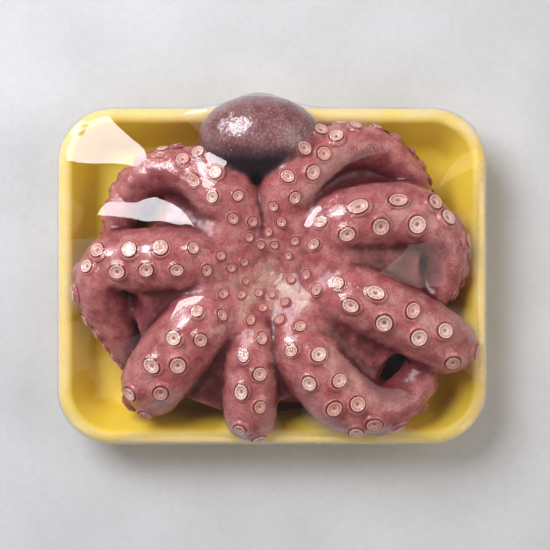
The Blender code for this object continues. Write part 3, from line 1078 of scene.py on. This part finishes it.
    def tones(self, flesh: Object) -> dict[str, np.ndarray]:
        """Work out, for each point of the skin, where on the animal it is, and where light and shade are
        painted on it.

        Args:
            flesh: the skin.

        Returns:
            Arrays of shares from 0 to 1, by name.
        """
        mesh = flesh.data
        points, normals = points_of(mesh), normals_of(mesh)
        samples = [(path, distance) for path in self.paths for distance in np.arange(0, path.length, 2 * MM)]
        tree = search_tree([path.at(distance)[0] for path, distance in samples])
        oral = np.empty(len(points))
        nearness = np.empty(len(points))
        for index, point in enumerate(points):
            where = Vector(point)
            _, nearest, away = tree.find(where)
            path, distance = samples[nearest]
            centre, _, facing, _ = path.at(distance)
            half = path.half_width(distance)
            nearness[index] = away / half
            oral[index] = (where - centre).dot(facing) / half
        away = points - np.array(MOUTH)
        from_mouth = np.linalg.norm(away, axis=1)
        turn = np.arctan2(away[:, 1], away[:, 0])
        bearings = np.array([math.radians(arm.bearing + 0.2 * arm.sway) for arm in ARMS])
        off_arm = np.abs(np.angle(np.exp(1j * (turn[:, None] - bearings)))).min(axis=1)
        # The crown's tone runs out further between the arms, on the near side of the mouth only.
        rays = 26 * MM * smooth_step(off_arm / math.radians(20)) * smooth_step(-away[:, 1] / (10 * MM))
        sunk = ((levelled(mesh) - points) * normals).sum(axis=1)
        mantle_reach = MANTLE.reach(points)
        # The mantle's tone stops at its own surface and at the arms that lie against it.
        on_mantle = smooth_step((1.16 - mantle_reach) / 0.1) * smooth_step((nearness - 0.9) / 0.25 + 0.4)
        # Painted shade: the skin darkens low in the tray and in the valleys between arms, but not close to
        # the mouth.
        low_shade = smooth_step((42 * MM - points[:, 2]) / (26 * MM))
        valley_shade = smooth_step(sunk / (1.1 * MM)) * smooth_step((from_mouth - 5 * MM) / (16 * MM))
        return {
            "oral": smooth_step((oral + 0.35) / 1.1),
            "crown": 0.85 * smooth_step((rays + 14 * MM - from_mouth) / (16 * MM)),
            "mouth": 0.8 * np.exp(-((from_mouth / (0.55 * self.mouth)) ** 2)),
            "mantle": on_mantle,
            # painted shade on the mantle's half towards the arms
            "ink": on_mantle * smooth_step((74 * MM - points[:, 1]) / (14 * MM)),
            # painted shade in valleys and low in the tray
            "hollow": np.clip(0.95 * valley_shade + 0.85 * low_shade, 0, 0.94),
            # painted light on ridges
            "ridge": smooth_step(-sunk / (1.6 * MM)),
        }

    def make_suckers(self, flesh: Object, tones: dict[str, np.ndarray]) -> Object:
        """Copy the sucker to every seat, as one piece, in the tones of the skin around it, painted shade and
        light included.

        Args:
            flesh: the finished skin.
            tones: the skin's tones.

        Returns:
            The suckers.
        """
        unit, faces, marks = Sucker().build()
        skin = search_tree(points_of(flesh.data))
        surface = BVHTree.FromObject(flesh, bpy.context.evaluated_depsgraph_get())
        points, all_faces = [], []
        stored: dict[str, list[np.ndarray]] = {name: [] for name in (*tones, *marks, "blush", "open")}
        for seat in self.seats:
            hit, _, _, _ = surface.ray_cast(seat.middle + 4 * MM * seat.out, -seat.out, 8 * MM)
            middle = hit or seat.middle
            side = seat.along.cross(seat.out).normalized()
            forward = seat.out.cross(side)
            turn = self.random.uniform(0, 2 * math.pi)
            stretch = self.random.normal(1, self.squeeze)
            cos, sin = math.cos(turn), math.sin(turn)
            spin = np.array(((cos, -sin, 0), (sin, cos, 0), (0, 0, 1)))
            axes = np.array((side * stretch, forward / stretch, seat.out * self.random.uniform(0.8, 1.15)))
            shift = len(points) * len(unit)
            points.append((unit @ spin) @ axes * (self.rim_share * seat.diameter / 2) + np.array(middle))
            all_faces += [[corner + shift for corner in face] for face in faces]
            nearest = skin.find(middle)[1]
            small = 1 - smooth_step((seat.diameter / MM - 5) / 3)
            for name, value in (
                *((name, values[nearest]) for name, values in tones.items()),
                ("blush", self.random.uniform(0, 0.7) * (1 - small) + 0.8 * small),
                # how strongly the hole's painted shade shows
                ("open", 0.2 + 0.8 * small * self.random.uniform(0.6, 1)),
            ):
                stored[name].append(np.full(len(unit), value))
            for name, values in marks.items():
                stored[name].append(values)
        mesh = bpy.data.meshes.new("octopus_suckers")
        mesh.from_pydata(np.concatenate(points).tolist(), [], all_faces)
        mesh.shade_smooth()
        for name, values in stored.items():
            set_tone(mesh, name, np.concatenate(values))
        suckers = place("octopus_suckers", mesh)
        finish_piece(suckers, SuckerFinish(self.skin).material(), None)
        return suckers

    def build(self) -> list[Object]:
        """Model the animal.

        Returns:
            Its pieces.
        """
        flesh = self.block_out()
        self.seat_suckers(flesh)
        self.raise_collars(flesh)
        self.pucker(flesh)
        self.wrinkle(flesh)
        self.settle(flesh.data)
        tones = self.tones(flesh)
        for name, values in tones.items():
            set_tone(flesh.data, name, values)
        flesh.data.shade_smooth()
        suckers = self.make_suckers(flesh, tones)
        finish_piece(flesh, self.skin.material(), "octopus")
        LOG.info("suckers: %d", len(self.seats))
        return [flesh, suckers]


# ----------------------------------------------------------------- the film


@dataclass(frozen=True)
class FilmFinish:
    """Stretched PVC film: as clear as water and mirror smooth, seen only by what it reflects."""

    roughness: float = 0.02
    reflects: float = 0.034  # each face's share of reflected light, seen straight on
    haze: float = 0.17  # each face's share of scattered light, where the film is gathered over the rim
    grain: float = 1.6 * MM  # of the relief where the film clings to wet flesh
    ripple: float = 0.35 * MM  # that relief's height

    def material(self) -> Material:
        """Make the film, whose reflection grows towards grazing views on both of its faces alike."""
        material, tree, surface = new_material("PVC stretch film")
        clear = add_node(tree, "BsdfTransparent")
        place_in = add_node(tree, "TexCoord").outputs["Object"]
        bumps = add_node(tree, "TexNoise", {"Scale": 1 / self.grain, "Detail": 2.0}, Vector=place_in)
        clinging = add_node(tree, "Attribute", {"attribute_name": "clinging"})
        both = {"0": bumps.outputs["Fac"], "1": clinging.outputs["Fac"]}
        lift = add_node(tree, "Math", {"operation": "MULTIPLY"}, **both)
        ripples = {"Strength": 1.0, "Distance": self.ripple}
        relief = add_node(tree, "Bump", ripples, Height=lift.outputs["Value"])
        gloss = add_node(tree, "BsdfGlossy", {"Roughness": self.roughness}, Normal=relief.outputs["Normal"])
        facing = add_node(tree, "LayerWeight", {"Blend": 0.5})
        grazing = add_node(tree, "Math", {"operation": "POWER", 1: 5.0}, **{"0": facing.outputs["Facing"]})
        share = add_node(
            tree,
            "Math",
            {"operation": "MULTIPLY_ADD", 1: 1 - self.reflects, 2: self.reflects},
            **{"0": grazing.outputs["Value"]},
        )
        gathered = add_node(tree, "Attribute", {"attribute_name": "gathered"})
        clouding = {"operation": "MULTIPLY", 1: self.haze}
        cloudy = add_node(tree, "Math", clouding, **{"0": gathered.outputs["Fac"]})
        milk = add_node(tree, "BsdfDiffuse", {"Color": linear("#FFFFFF")})
        film = add_node(
            tree,
            "MixShader",
            Fac=share.outputs["Value"],
            **{"1": clear.outputs["BSDF"], "2": gloss.outputs["BSDF"]},
        )
        film = add_node(
            tree,
            "MixShader",
            Fac=cloudy.outputs["Value"],
            **{"1": film.outputs["Shader"], "2": milk.outputs["BSDF"]},
        )
        tree.links.new(film.outputs["Shader"], surface)
        return material


@dataclass
class StretchFilm:
    """The film: a taut skin over octopus and rim, down the sides and in under the base."""

    tray: FoamTray
    below: list[Object]
    count: int = 400
    rings: int = 72
    clear: float = 0.35 * MM
    thickness: float = 0.12 * MM
    hem: float = 45 * MM
    edge_inset: float = 4 * MM
    pleat: float = 3 * MM  # how far the gathers stand off the walls
    bulge_width: float = 0.62  # of the mantle's bulge past the far rim, as a share of the mantle's half width
    corner_lift: float = 3.2 * MM  # how far the flat facet over each corner lifts the film's edge
    corner_share: float = 14 * MM  # how far along the sides that facet runs out
    cell: float = 4 * MM  # of the coarse grid that the film is first stretched on
    cling: float = 11.0  # the curvature that the wet flesh draws the film down with, in 1/m
    # Where the wet flesh draws it down most, as x, y and the reach round them, and how strongly.
    hollow: tuple[float, float, float] = (-62 * MM, 33 * MM, 20 * MM)
    hollow_cling: float = 28.0
    pull: float = 2.5  # how much harder the film is pulled outwards than round
    coarse_rounds: int = 900  # of levelling on the coarse grid
    fine_rounds: int = 700  # of levelling on the rings
    fine_folds: float = 60  # how fast the gathers change round the rim
    broad_folds: float = 9  # how fast groups of gathers do
    finish: FilmFinish = field(default_factory=FilmFinish)

    def __post_init__(self) -> None:
        """Take the sizes that follow from the mantle, which pushes the film out past the far rim."""
        self.overhang = (MANTLE.middle[1] + MANTLE.half[1]) * MM - self.tray.width / 2
        self.edge_height = RIM_TOP + self.clear + self.thickness
        graph = bpy.context.evaluated_depsgraph_get()
        self.trees = [BVHTree.FromObject(thing, graph) for thing in self.below]

    def bulge(self, x: Any, y: Any) -> Any:
        """How strongly the mantle pushes the film out past the far rim, from 0 to 1."""
        away = (x - MANTLE.middle[0] * MM) / (self.bulge_width * MANTLE.half[0] * MM)
        return np.exp(-(away**2)) * (np.asarray(y) > 0)

    def resting(self, x: float, y: float) -> float:
        """The lowest that the film can lie over a place."""
        highest = float(self.tray.height(x, y))
        for tree in self.trees:
            hit = tree.ray_cast(Vector((x, y, 0.2)) + MIDDLE, -UP)[0]
            highest = max(highest, hit.z if hit else 0)
        return highest + self.clear + self.thickness

    def drawn(self, x: np.ndarray, y: np.ndarray, resting: np.ndarray) -> np.ndarray:
        """How strongly the film is drawn down: over flesh, most in the hollow, and not over the bare tray."""
        away = np.hypot(x - self.hollow[0], y - self.hollow[1]) / self.hollow[2]
        on_flesh = smooth_step((resting - RIM_TOP) / (8 * MM) + 0.5)
        return self.cling * on_flesh + self.hollow_cling * np.exp(-(away**2))

    def facet(self, x: Any, y: Any) -> Any:
        """How far the flat facets over the corners lift the film's edge at a place."""
        tray = self.tray
        off_x = np.abs(x) - (tray.length / 2 - tray.corner)
        off_y = np.abs(y) - (tray.width / 2 - tray.corner)
        past_end = np.maximum(-off_x, -off_y) / self.corner_share
        turn = np.arctan2(np.maximum(off_y, 0), np.maximum(off_x, 1e-6))
        on_arc = np.abs(np.cos(2 * turn)) * (np.minimum(off_x, off_y) > 0)
        off_arc = np.exp(-np.maximum(past_end, 0)) * (np.minimum(off_x, off_y) <= 0)
        return self.corner_lift * (on_arc + off_arc)

    def ring(self, inset: float, height: float, push: float, lift: float) -> list[Vector]:
        """A ring of the film round the tray, pushed out and lifted where the mantle bears on it."""
        ring = self.tray.outline(inset, height, self.count)
        for point in ring:
            share = float(self.bulge(point.x, point.y))
            if height > RIM_TOP + 0.2 * MM:
                point.z += float(self.facet(point.x, point.y))
            elif BASE + 0.5 * MM < height < RIM_TOP - 3 * MM:
                pleat = self.pleat * max(self.gather(point) - 0.7, 0)
                point.x += pleat * point.x / self.tray.length
                point.y += pleat * point.y / self.tray.width
            point.y += push * share
            point.z += lift * share
            if height > RIM_TOP:
                point.z = max(point.z, self.resting(point.x, point.y))
        return ring

    def coarse_heights(self, push: float, lift: float) -> tuple[np.ndarray, np.ndarray]:
        """Stretch the film on a coarse square grid.

        Args:
            push: how far the mantle moves the film's upper edge out.
            lift: how far it moves it up.

        Returns:
            The heights, and the grid's first corner.
        """
        reach = np.array((self.tray.length, self.tray.width)) / 2 + self.overhang + 2 * self.cell
        counts = np.ceil(2 * reach / self.cell).astype(int)
        corner = -counts * self.cell / 2
        x, y = np.meshgrid(*(corner[axis] + np.arange(counts[axis]) * self.cell for axis in (0, 1)))
        resting = np.vectorize(self.resting)(x, y)
        edge = self.edge_height + lift * self.bulge(x, y) + self.facet(x, y)
        beyond = self.tray.inset(x, y - push * self.bulge(x, y)) < self.edge_inset
        sink = self.drawn(x, y, resting) * self.cell**2 / 4
        heights = np.where(beyond, edge, resting)
        for _ in range(self.coarse_rounds):
            level = sum(np.roll(heights, step, axis) for step in (-1, 1) for axis in (0, 1)) / 4
            heights = np.where(beyond, edge, np.maximum(level - sink, resting))
        return heights, corner

    def top(self, edge: list[Vector], push: float, lift: float) -> list[list[Vector]]:
        """Stretch the film from its upper edge over all that is below.

        Args:
            edge: the film's upper edge.
            push: how far the mantle has moved it out.
            lift: how far it has moved it up.

        Returns:
            Rings of points from the middle to the edge.
        """
        grid, corner = self.coarse_heights(push, lift)
        rim = np.array([point[:] for point in edge])
        centre = np.array(MOUTH)
        shares = np.arange(self.rings + 1) / self.rings
        places = centre + shares[:, None, None] * (rim - centre)
        x, y = places[..., 0], places[..., 1]
        across, up = (x - corner[0]) / self.cell, (y - corner[1]) / self.cell
        column, row = across.astype(int), up.astype(int)
        across, up = across - column, up - row
        heights = (1 - up) * ((1 - across) * grid[row, column] + across * grid[row, column + 1]) + up * (
            (1 - across) * grid[row + 1, column] + across * grid[row + 1, column + 1]
        )
        resting = np.vectorize(self.resting)(x, y)
        heights[-1] = rim[:, 2]
        step_out = np.linalg.norm(rim[:, :2] - centre[:2], axis=1) / self.rings
        outwards = self.pull / step_out**2
        drawn = self.drawn(x, y, resting)[1:-1]
        between = np.linalg.norm(places[:, :, :2] - np.roll(places, 1, 1)[:, :, :2], axis=2)
        around = 1 / np.maximum(between[1:-1], 0.05 * MM) ** 2
        half = 0.5 / self.rings / shares[1:-1, None]
        for _ in range(self.fine_rounds):
            inner, outer = (1 - half) * outwards, (1 + half) * outwards
            sides = np.roll(heights, 1, 1)[1:-1] + np.roll(heights, -1, 1)[1:-1]
            level = inner * heights[:-2] + outer * heights[2:] + around * sides - drawn
            level /= inner + outer + 2 * around
            heights[1:-1] = np.maximum(level, resting[1:-1])
            heights[0] = max(heights[1].mean(), resting[0].max())
        rows = range(self.rings + 1)
        return [[Vector((x[i, j], y[i, j], heights[i, j])) for j in range(self.count)] for i in rows]

    def gather(self, point: np.ndarray) -> float:
        """How tightly the film is gathered at a place, as folds that run square to the rim."""
        turn = math.atan2(point[1] / self.tray.width, point[0] / self.tray.length)
        right, far = math.cos(turn), math.sin(turn)
        fine = noise.noise(Vector((self.fine_folds * right, self.fine_folds * far, 0)))
        broad = noise.noise(Vector((self.broad_folds * right, self.broad_folds * far, 3)))
        return float(np.clip(0.75 + 0.3 * fine + 0.5 * broad, 0.2, 1.2))

    def build(self) -> Object:
        """Model the film."""
        push, lift = self.overhang + 5 * MM, 12 * MM
        foot = self.tray.rim + self.tray.wall
        # From the upper edge to the hem: inset, height, how far the mantle pushes and lifts, rows of faces.
        levels = (
            (self.edge_inset, self.edge_height, push, lift, 1),
            (0.8 * MM, RIM_TOP + 0.1 * MM, self.overhang + 2.6 * MM, 8 * MM, 4),
            (-0.9 * MM, RIM_TOP - 2.6 * MM, self.overhang + 0.6 * MM, 4 * MM, 4),
            (-0.9 * MM, RIM_TOP - 5 * MM, 0, 0, 3),
            (foot - 2.8 * MM, 0.9 * MM, 0, 0, 10),
            (foot - 1 * MM, self.thickness, 0, 0, 3),
            (self.hem, self.thickness, 0, 0, 6),
        )
        edge = self.ring(*levels[0][:4])
        rows = self.top(edge, push, lift)
        last = edge
        for inset, height, out, up, steps in levels[1:]:
            ring = self.ring(inset, height, out, up)
            for step in range(1, steps + 1):
                rows.append([start.lerp(end, step / steps) for start, end in zip(last, ring)])
            last = ring
        bm = skin_rows(rows[1:], close_first=False, close_last=False)
        bm.verts.ensure_lookup_table()
        first = bm.verts[: self.count]
        pole = bm.verts.new(rows[0][0])
        for i in range(self.count):
            bm.faces.new((pole, first[i], first[(i + 1) % self.count]))
        bmesh.ops.recalc_face_normals(bm, faces=bm.faces)
        mesh = bpy.data.meshes.new("stretch_film")
        bm.to_mesh(mesh)
        bm.free()
        film = place("stretch_film", mesh)
        apply_modifier(film, "SOLIDIFY", thickness=self.thickness, offset=-1)
        mesh.shade_smooth()
        points = points_of(mesh)
        inset = self.tray.inset(points[:, 0], points[:, 1])
        low = smooth_step((RIM_TOP - points[:, 2]) / (6 * MM))
        high = smooth_step((points[:, 2] - RIM_TOP - 3 * MM) / (4 * MM))
        folds = np.array([self.gather(point) for point in points])
        near_rim = smooth_step((9 * MM - inset) / (6 * MM))
        set_tone(mesh, "gathered", near_rim * (1 - 0.5 * low) * (1 - high) * folds)
        above = points[:, 2] - np.vectorize(self.resting)(points[:, 0], points[:, 1])
        on_flesh = smooth_step((points[:, 2] - RIM_TOP - 2 * MM) / (3 * MM))
        set_tone(mesh, "clinging", smooth_step(1.3 - above / (0.7 * MM)) * on_flesh)
        finish_piece(film, self.finish.material(), "film")
        return film


# --------------------------------------------------------------- the studio


@dataclass(frozen=True)
class Card:
    """A lit panel that faces the pack: a softbox, or a white card that throws light back."""

    name: str
    place: tuple[float, float, float]
    size: tuple[float, float]
    radiance: float
    colour: str = "#FFFFFF"
    mirrored: bool = True  # whether wet surfaces and film show its reflection

    def build(self) -> None:
        """Hang the panel."""
        light = bpy.data.lights.new(self.name, "AREA")
        light.shape = "RECTANGLE"
        light.size, light.size_y = self.size
        light.energy = self.radiance * math.pi * self.size[0] * self.size[1]
        light.color = linear(self.colour)[:3]
        lamp = bpy.data.objects.new(self.name, light)
        bpy.context.scene.collection.objects.link(lamp)
        lamp.location = self.place
        lamp.visible_glossy = self.mirrored
        lamp.rotation_euler = (MIDDLE - lamp.location).to_track_quat("-Z", "Y").to_euler()


@dataclass
class Studio:
    """A pale plaster table top, a softbox up to the left, pale cards round the pack, a camera overhead."""

    over_rim: float = 750 * MM  # from the rim's height up to the camera
    aside: tuple[float, float] = (1.65 * MM, 0.55 * MM)
    lens: float = 89.4
    ambient: float = 0.16
    cards: tuple[Card, ...] = (
        Card("key softbox", (-0.47, 0.5, 0.8), (0.55, 0.55), 12.0, "#FAFAFF"),
        Card("right card", (0.62, 0.05, 0.62), (0.85, 0.5), 1.3, "#FFF6EA"),
        Card("right wall", (1.1, -0.1, 0.9), (1.2, 1.0), 0.75, "#FFF2E2", False),
        Card("near wall", (0.1, -1.2, 0.9), (1.2, 0.8), 0.7, "#FFF6EC", False),
        Card("left card", (-0.85, -0.1, 0.35), (0.7, 0.4), 0.5),
    )

    def floor(self) -> None:
        """Lay the table top."""
        deselect()
        bpy.ops.mesh.primitive_plane_add(size=6, location=(0, 0, -0.3 * MM))
        floor = bpy.context.object
        floor.name = "table_top"
        material, tree, surface = new_material("pale plaster")
        place_in = add_node(tree, "TexCoord").outputs["Object"]
        cloud = add_node(tree, "TexNoise", {"Scale": 1 / (60 * MM), "Detail": 5.0}, Vector=place_in)
        tint = add_node(
            tree, "ValToRGB", {"stops": ((0.35, "#CACBCD"), (0.68, "#D4D5D8"))}, Fac=cloud.outputs["Fac"]
        )
        tone = tint
        for size, low, start, end in ((4 * MM, "#FAFAFA", 0.3, 0.6), (1.1 * MM, "#ECECEC", 0.26, 0.36)):
            specks = add_node(tree, "TexNoise", {"Scale": 1 / size, "Detail": 3.0}, Vector=place_in)
            dark = add_node(
                tree, "ValToRGB", {"stops": ((start, low), (end, "#FFFFFF"))}, Fac=specks.outputs["Fac"]
            )
            tone = add_node(
                tree,
                "MixRGB",
                {"blend_type": "MULTIPLY", "Fac": 1.0},
                Color1=tone.outputs["Color"],
                Color2=dark.outputs["Color"],
            )
        shader = add_node(tree, "BsdfPrincipled", {"Roughness": 0.7}, Base_Color=tone.outputs["Color"])
        tree.links.new(shader.outputs["BSDF"], surface)
        floor.data.materials.append(material)

    def build(self) -> None:
        """Set up table, lights and camera."""
        self.floor()
        for card in self.cards:
            card.build()
        world = bpy.data.worlds.new("studio")
        bpy.context.scene.world = world
        world.use_nodes = True
        world.node_tree.nodes["Background"].inputs["Color"].default_value = linear("#F2F4F8")
        world.node_tree.nodes["Background"].inputs["Strength"].default_value = self.ambient
        camera = bpy.data.cameras.new("overhead")
        camera.lens = self.lens
        camera.clip_start = 0.01
        eye = bpy.data.objects.new("overhead", camera)
        bpy.context.scene.collection.objects.link(eye)
        eye.location = MIDDLE + Vector((*self.aside, RIM_TOP + self.over_rim))
        bpy.context.scene.camera = eye
        bpy.context.scene.view_settings.view_transform = "Standard"


def main() -> None:
    """Build the pack and the studio round it, and log the pieces' face counts."""
    logging.basicConfig(level=logging.INFO, format="%(name)s: %(message)s")
    Studio().build()
    tray = FoamTray()
    tray.build()
    octopus = Octopus(tray).build()
    StretchFilm(tray, octopus).build()


if __name__ == "__main__":
    main()
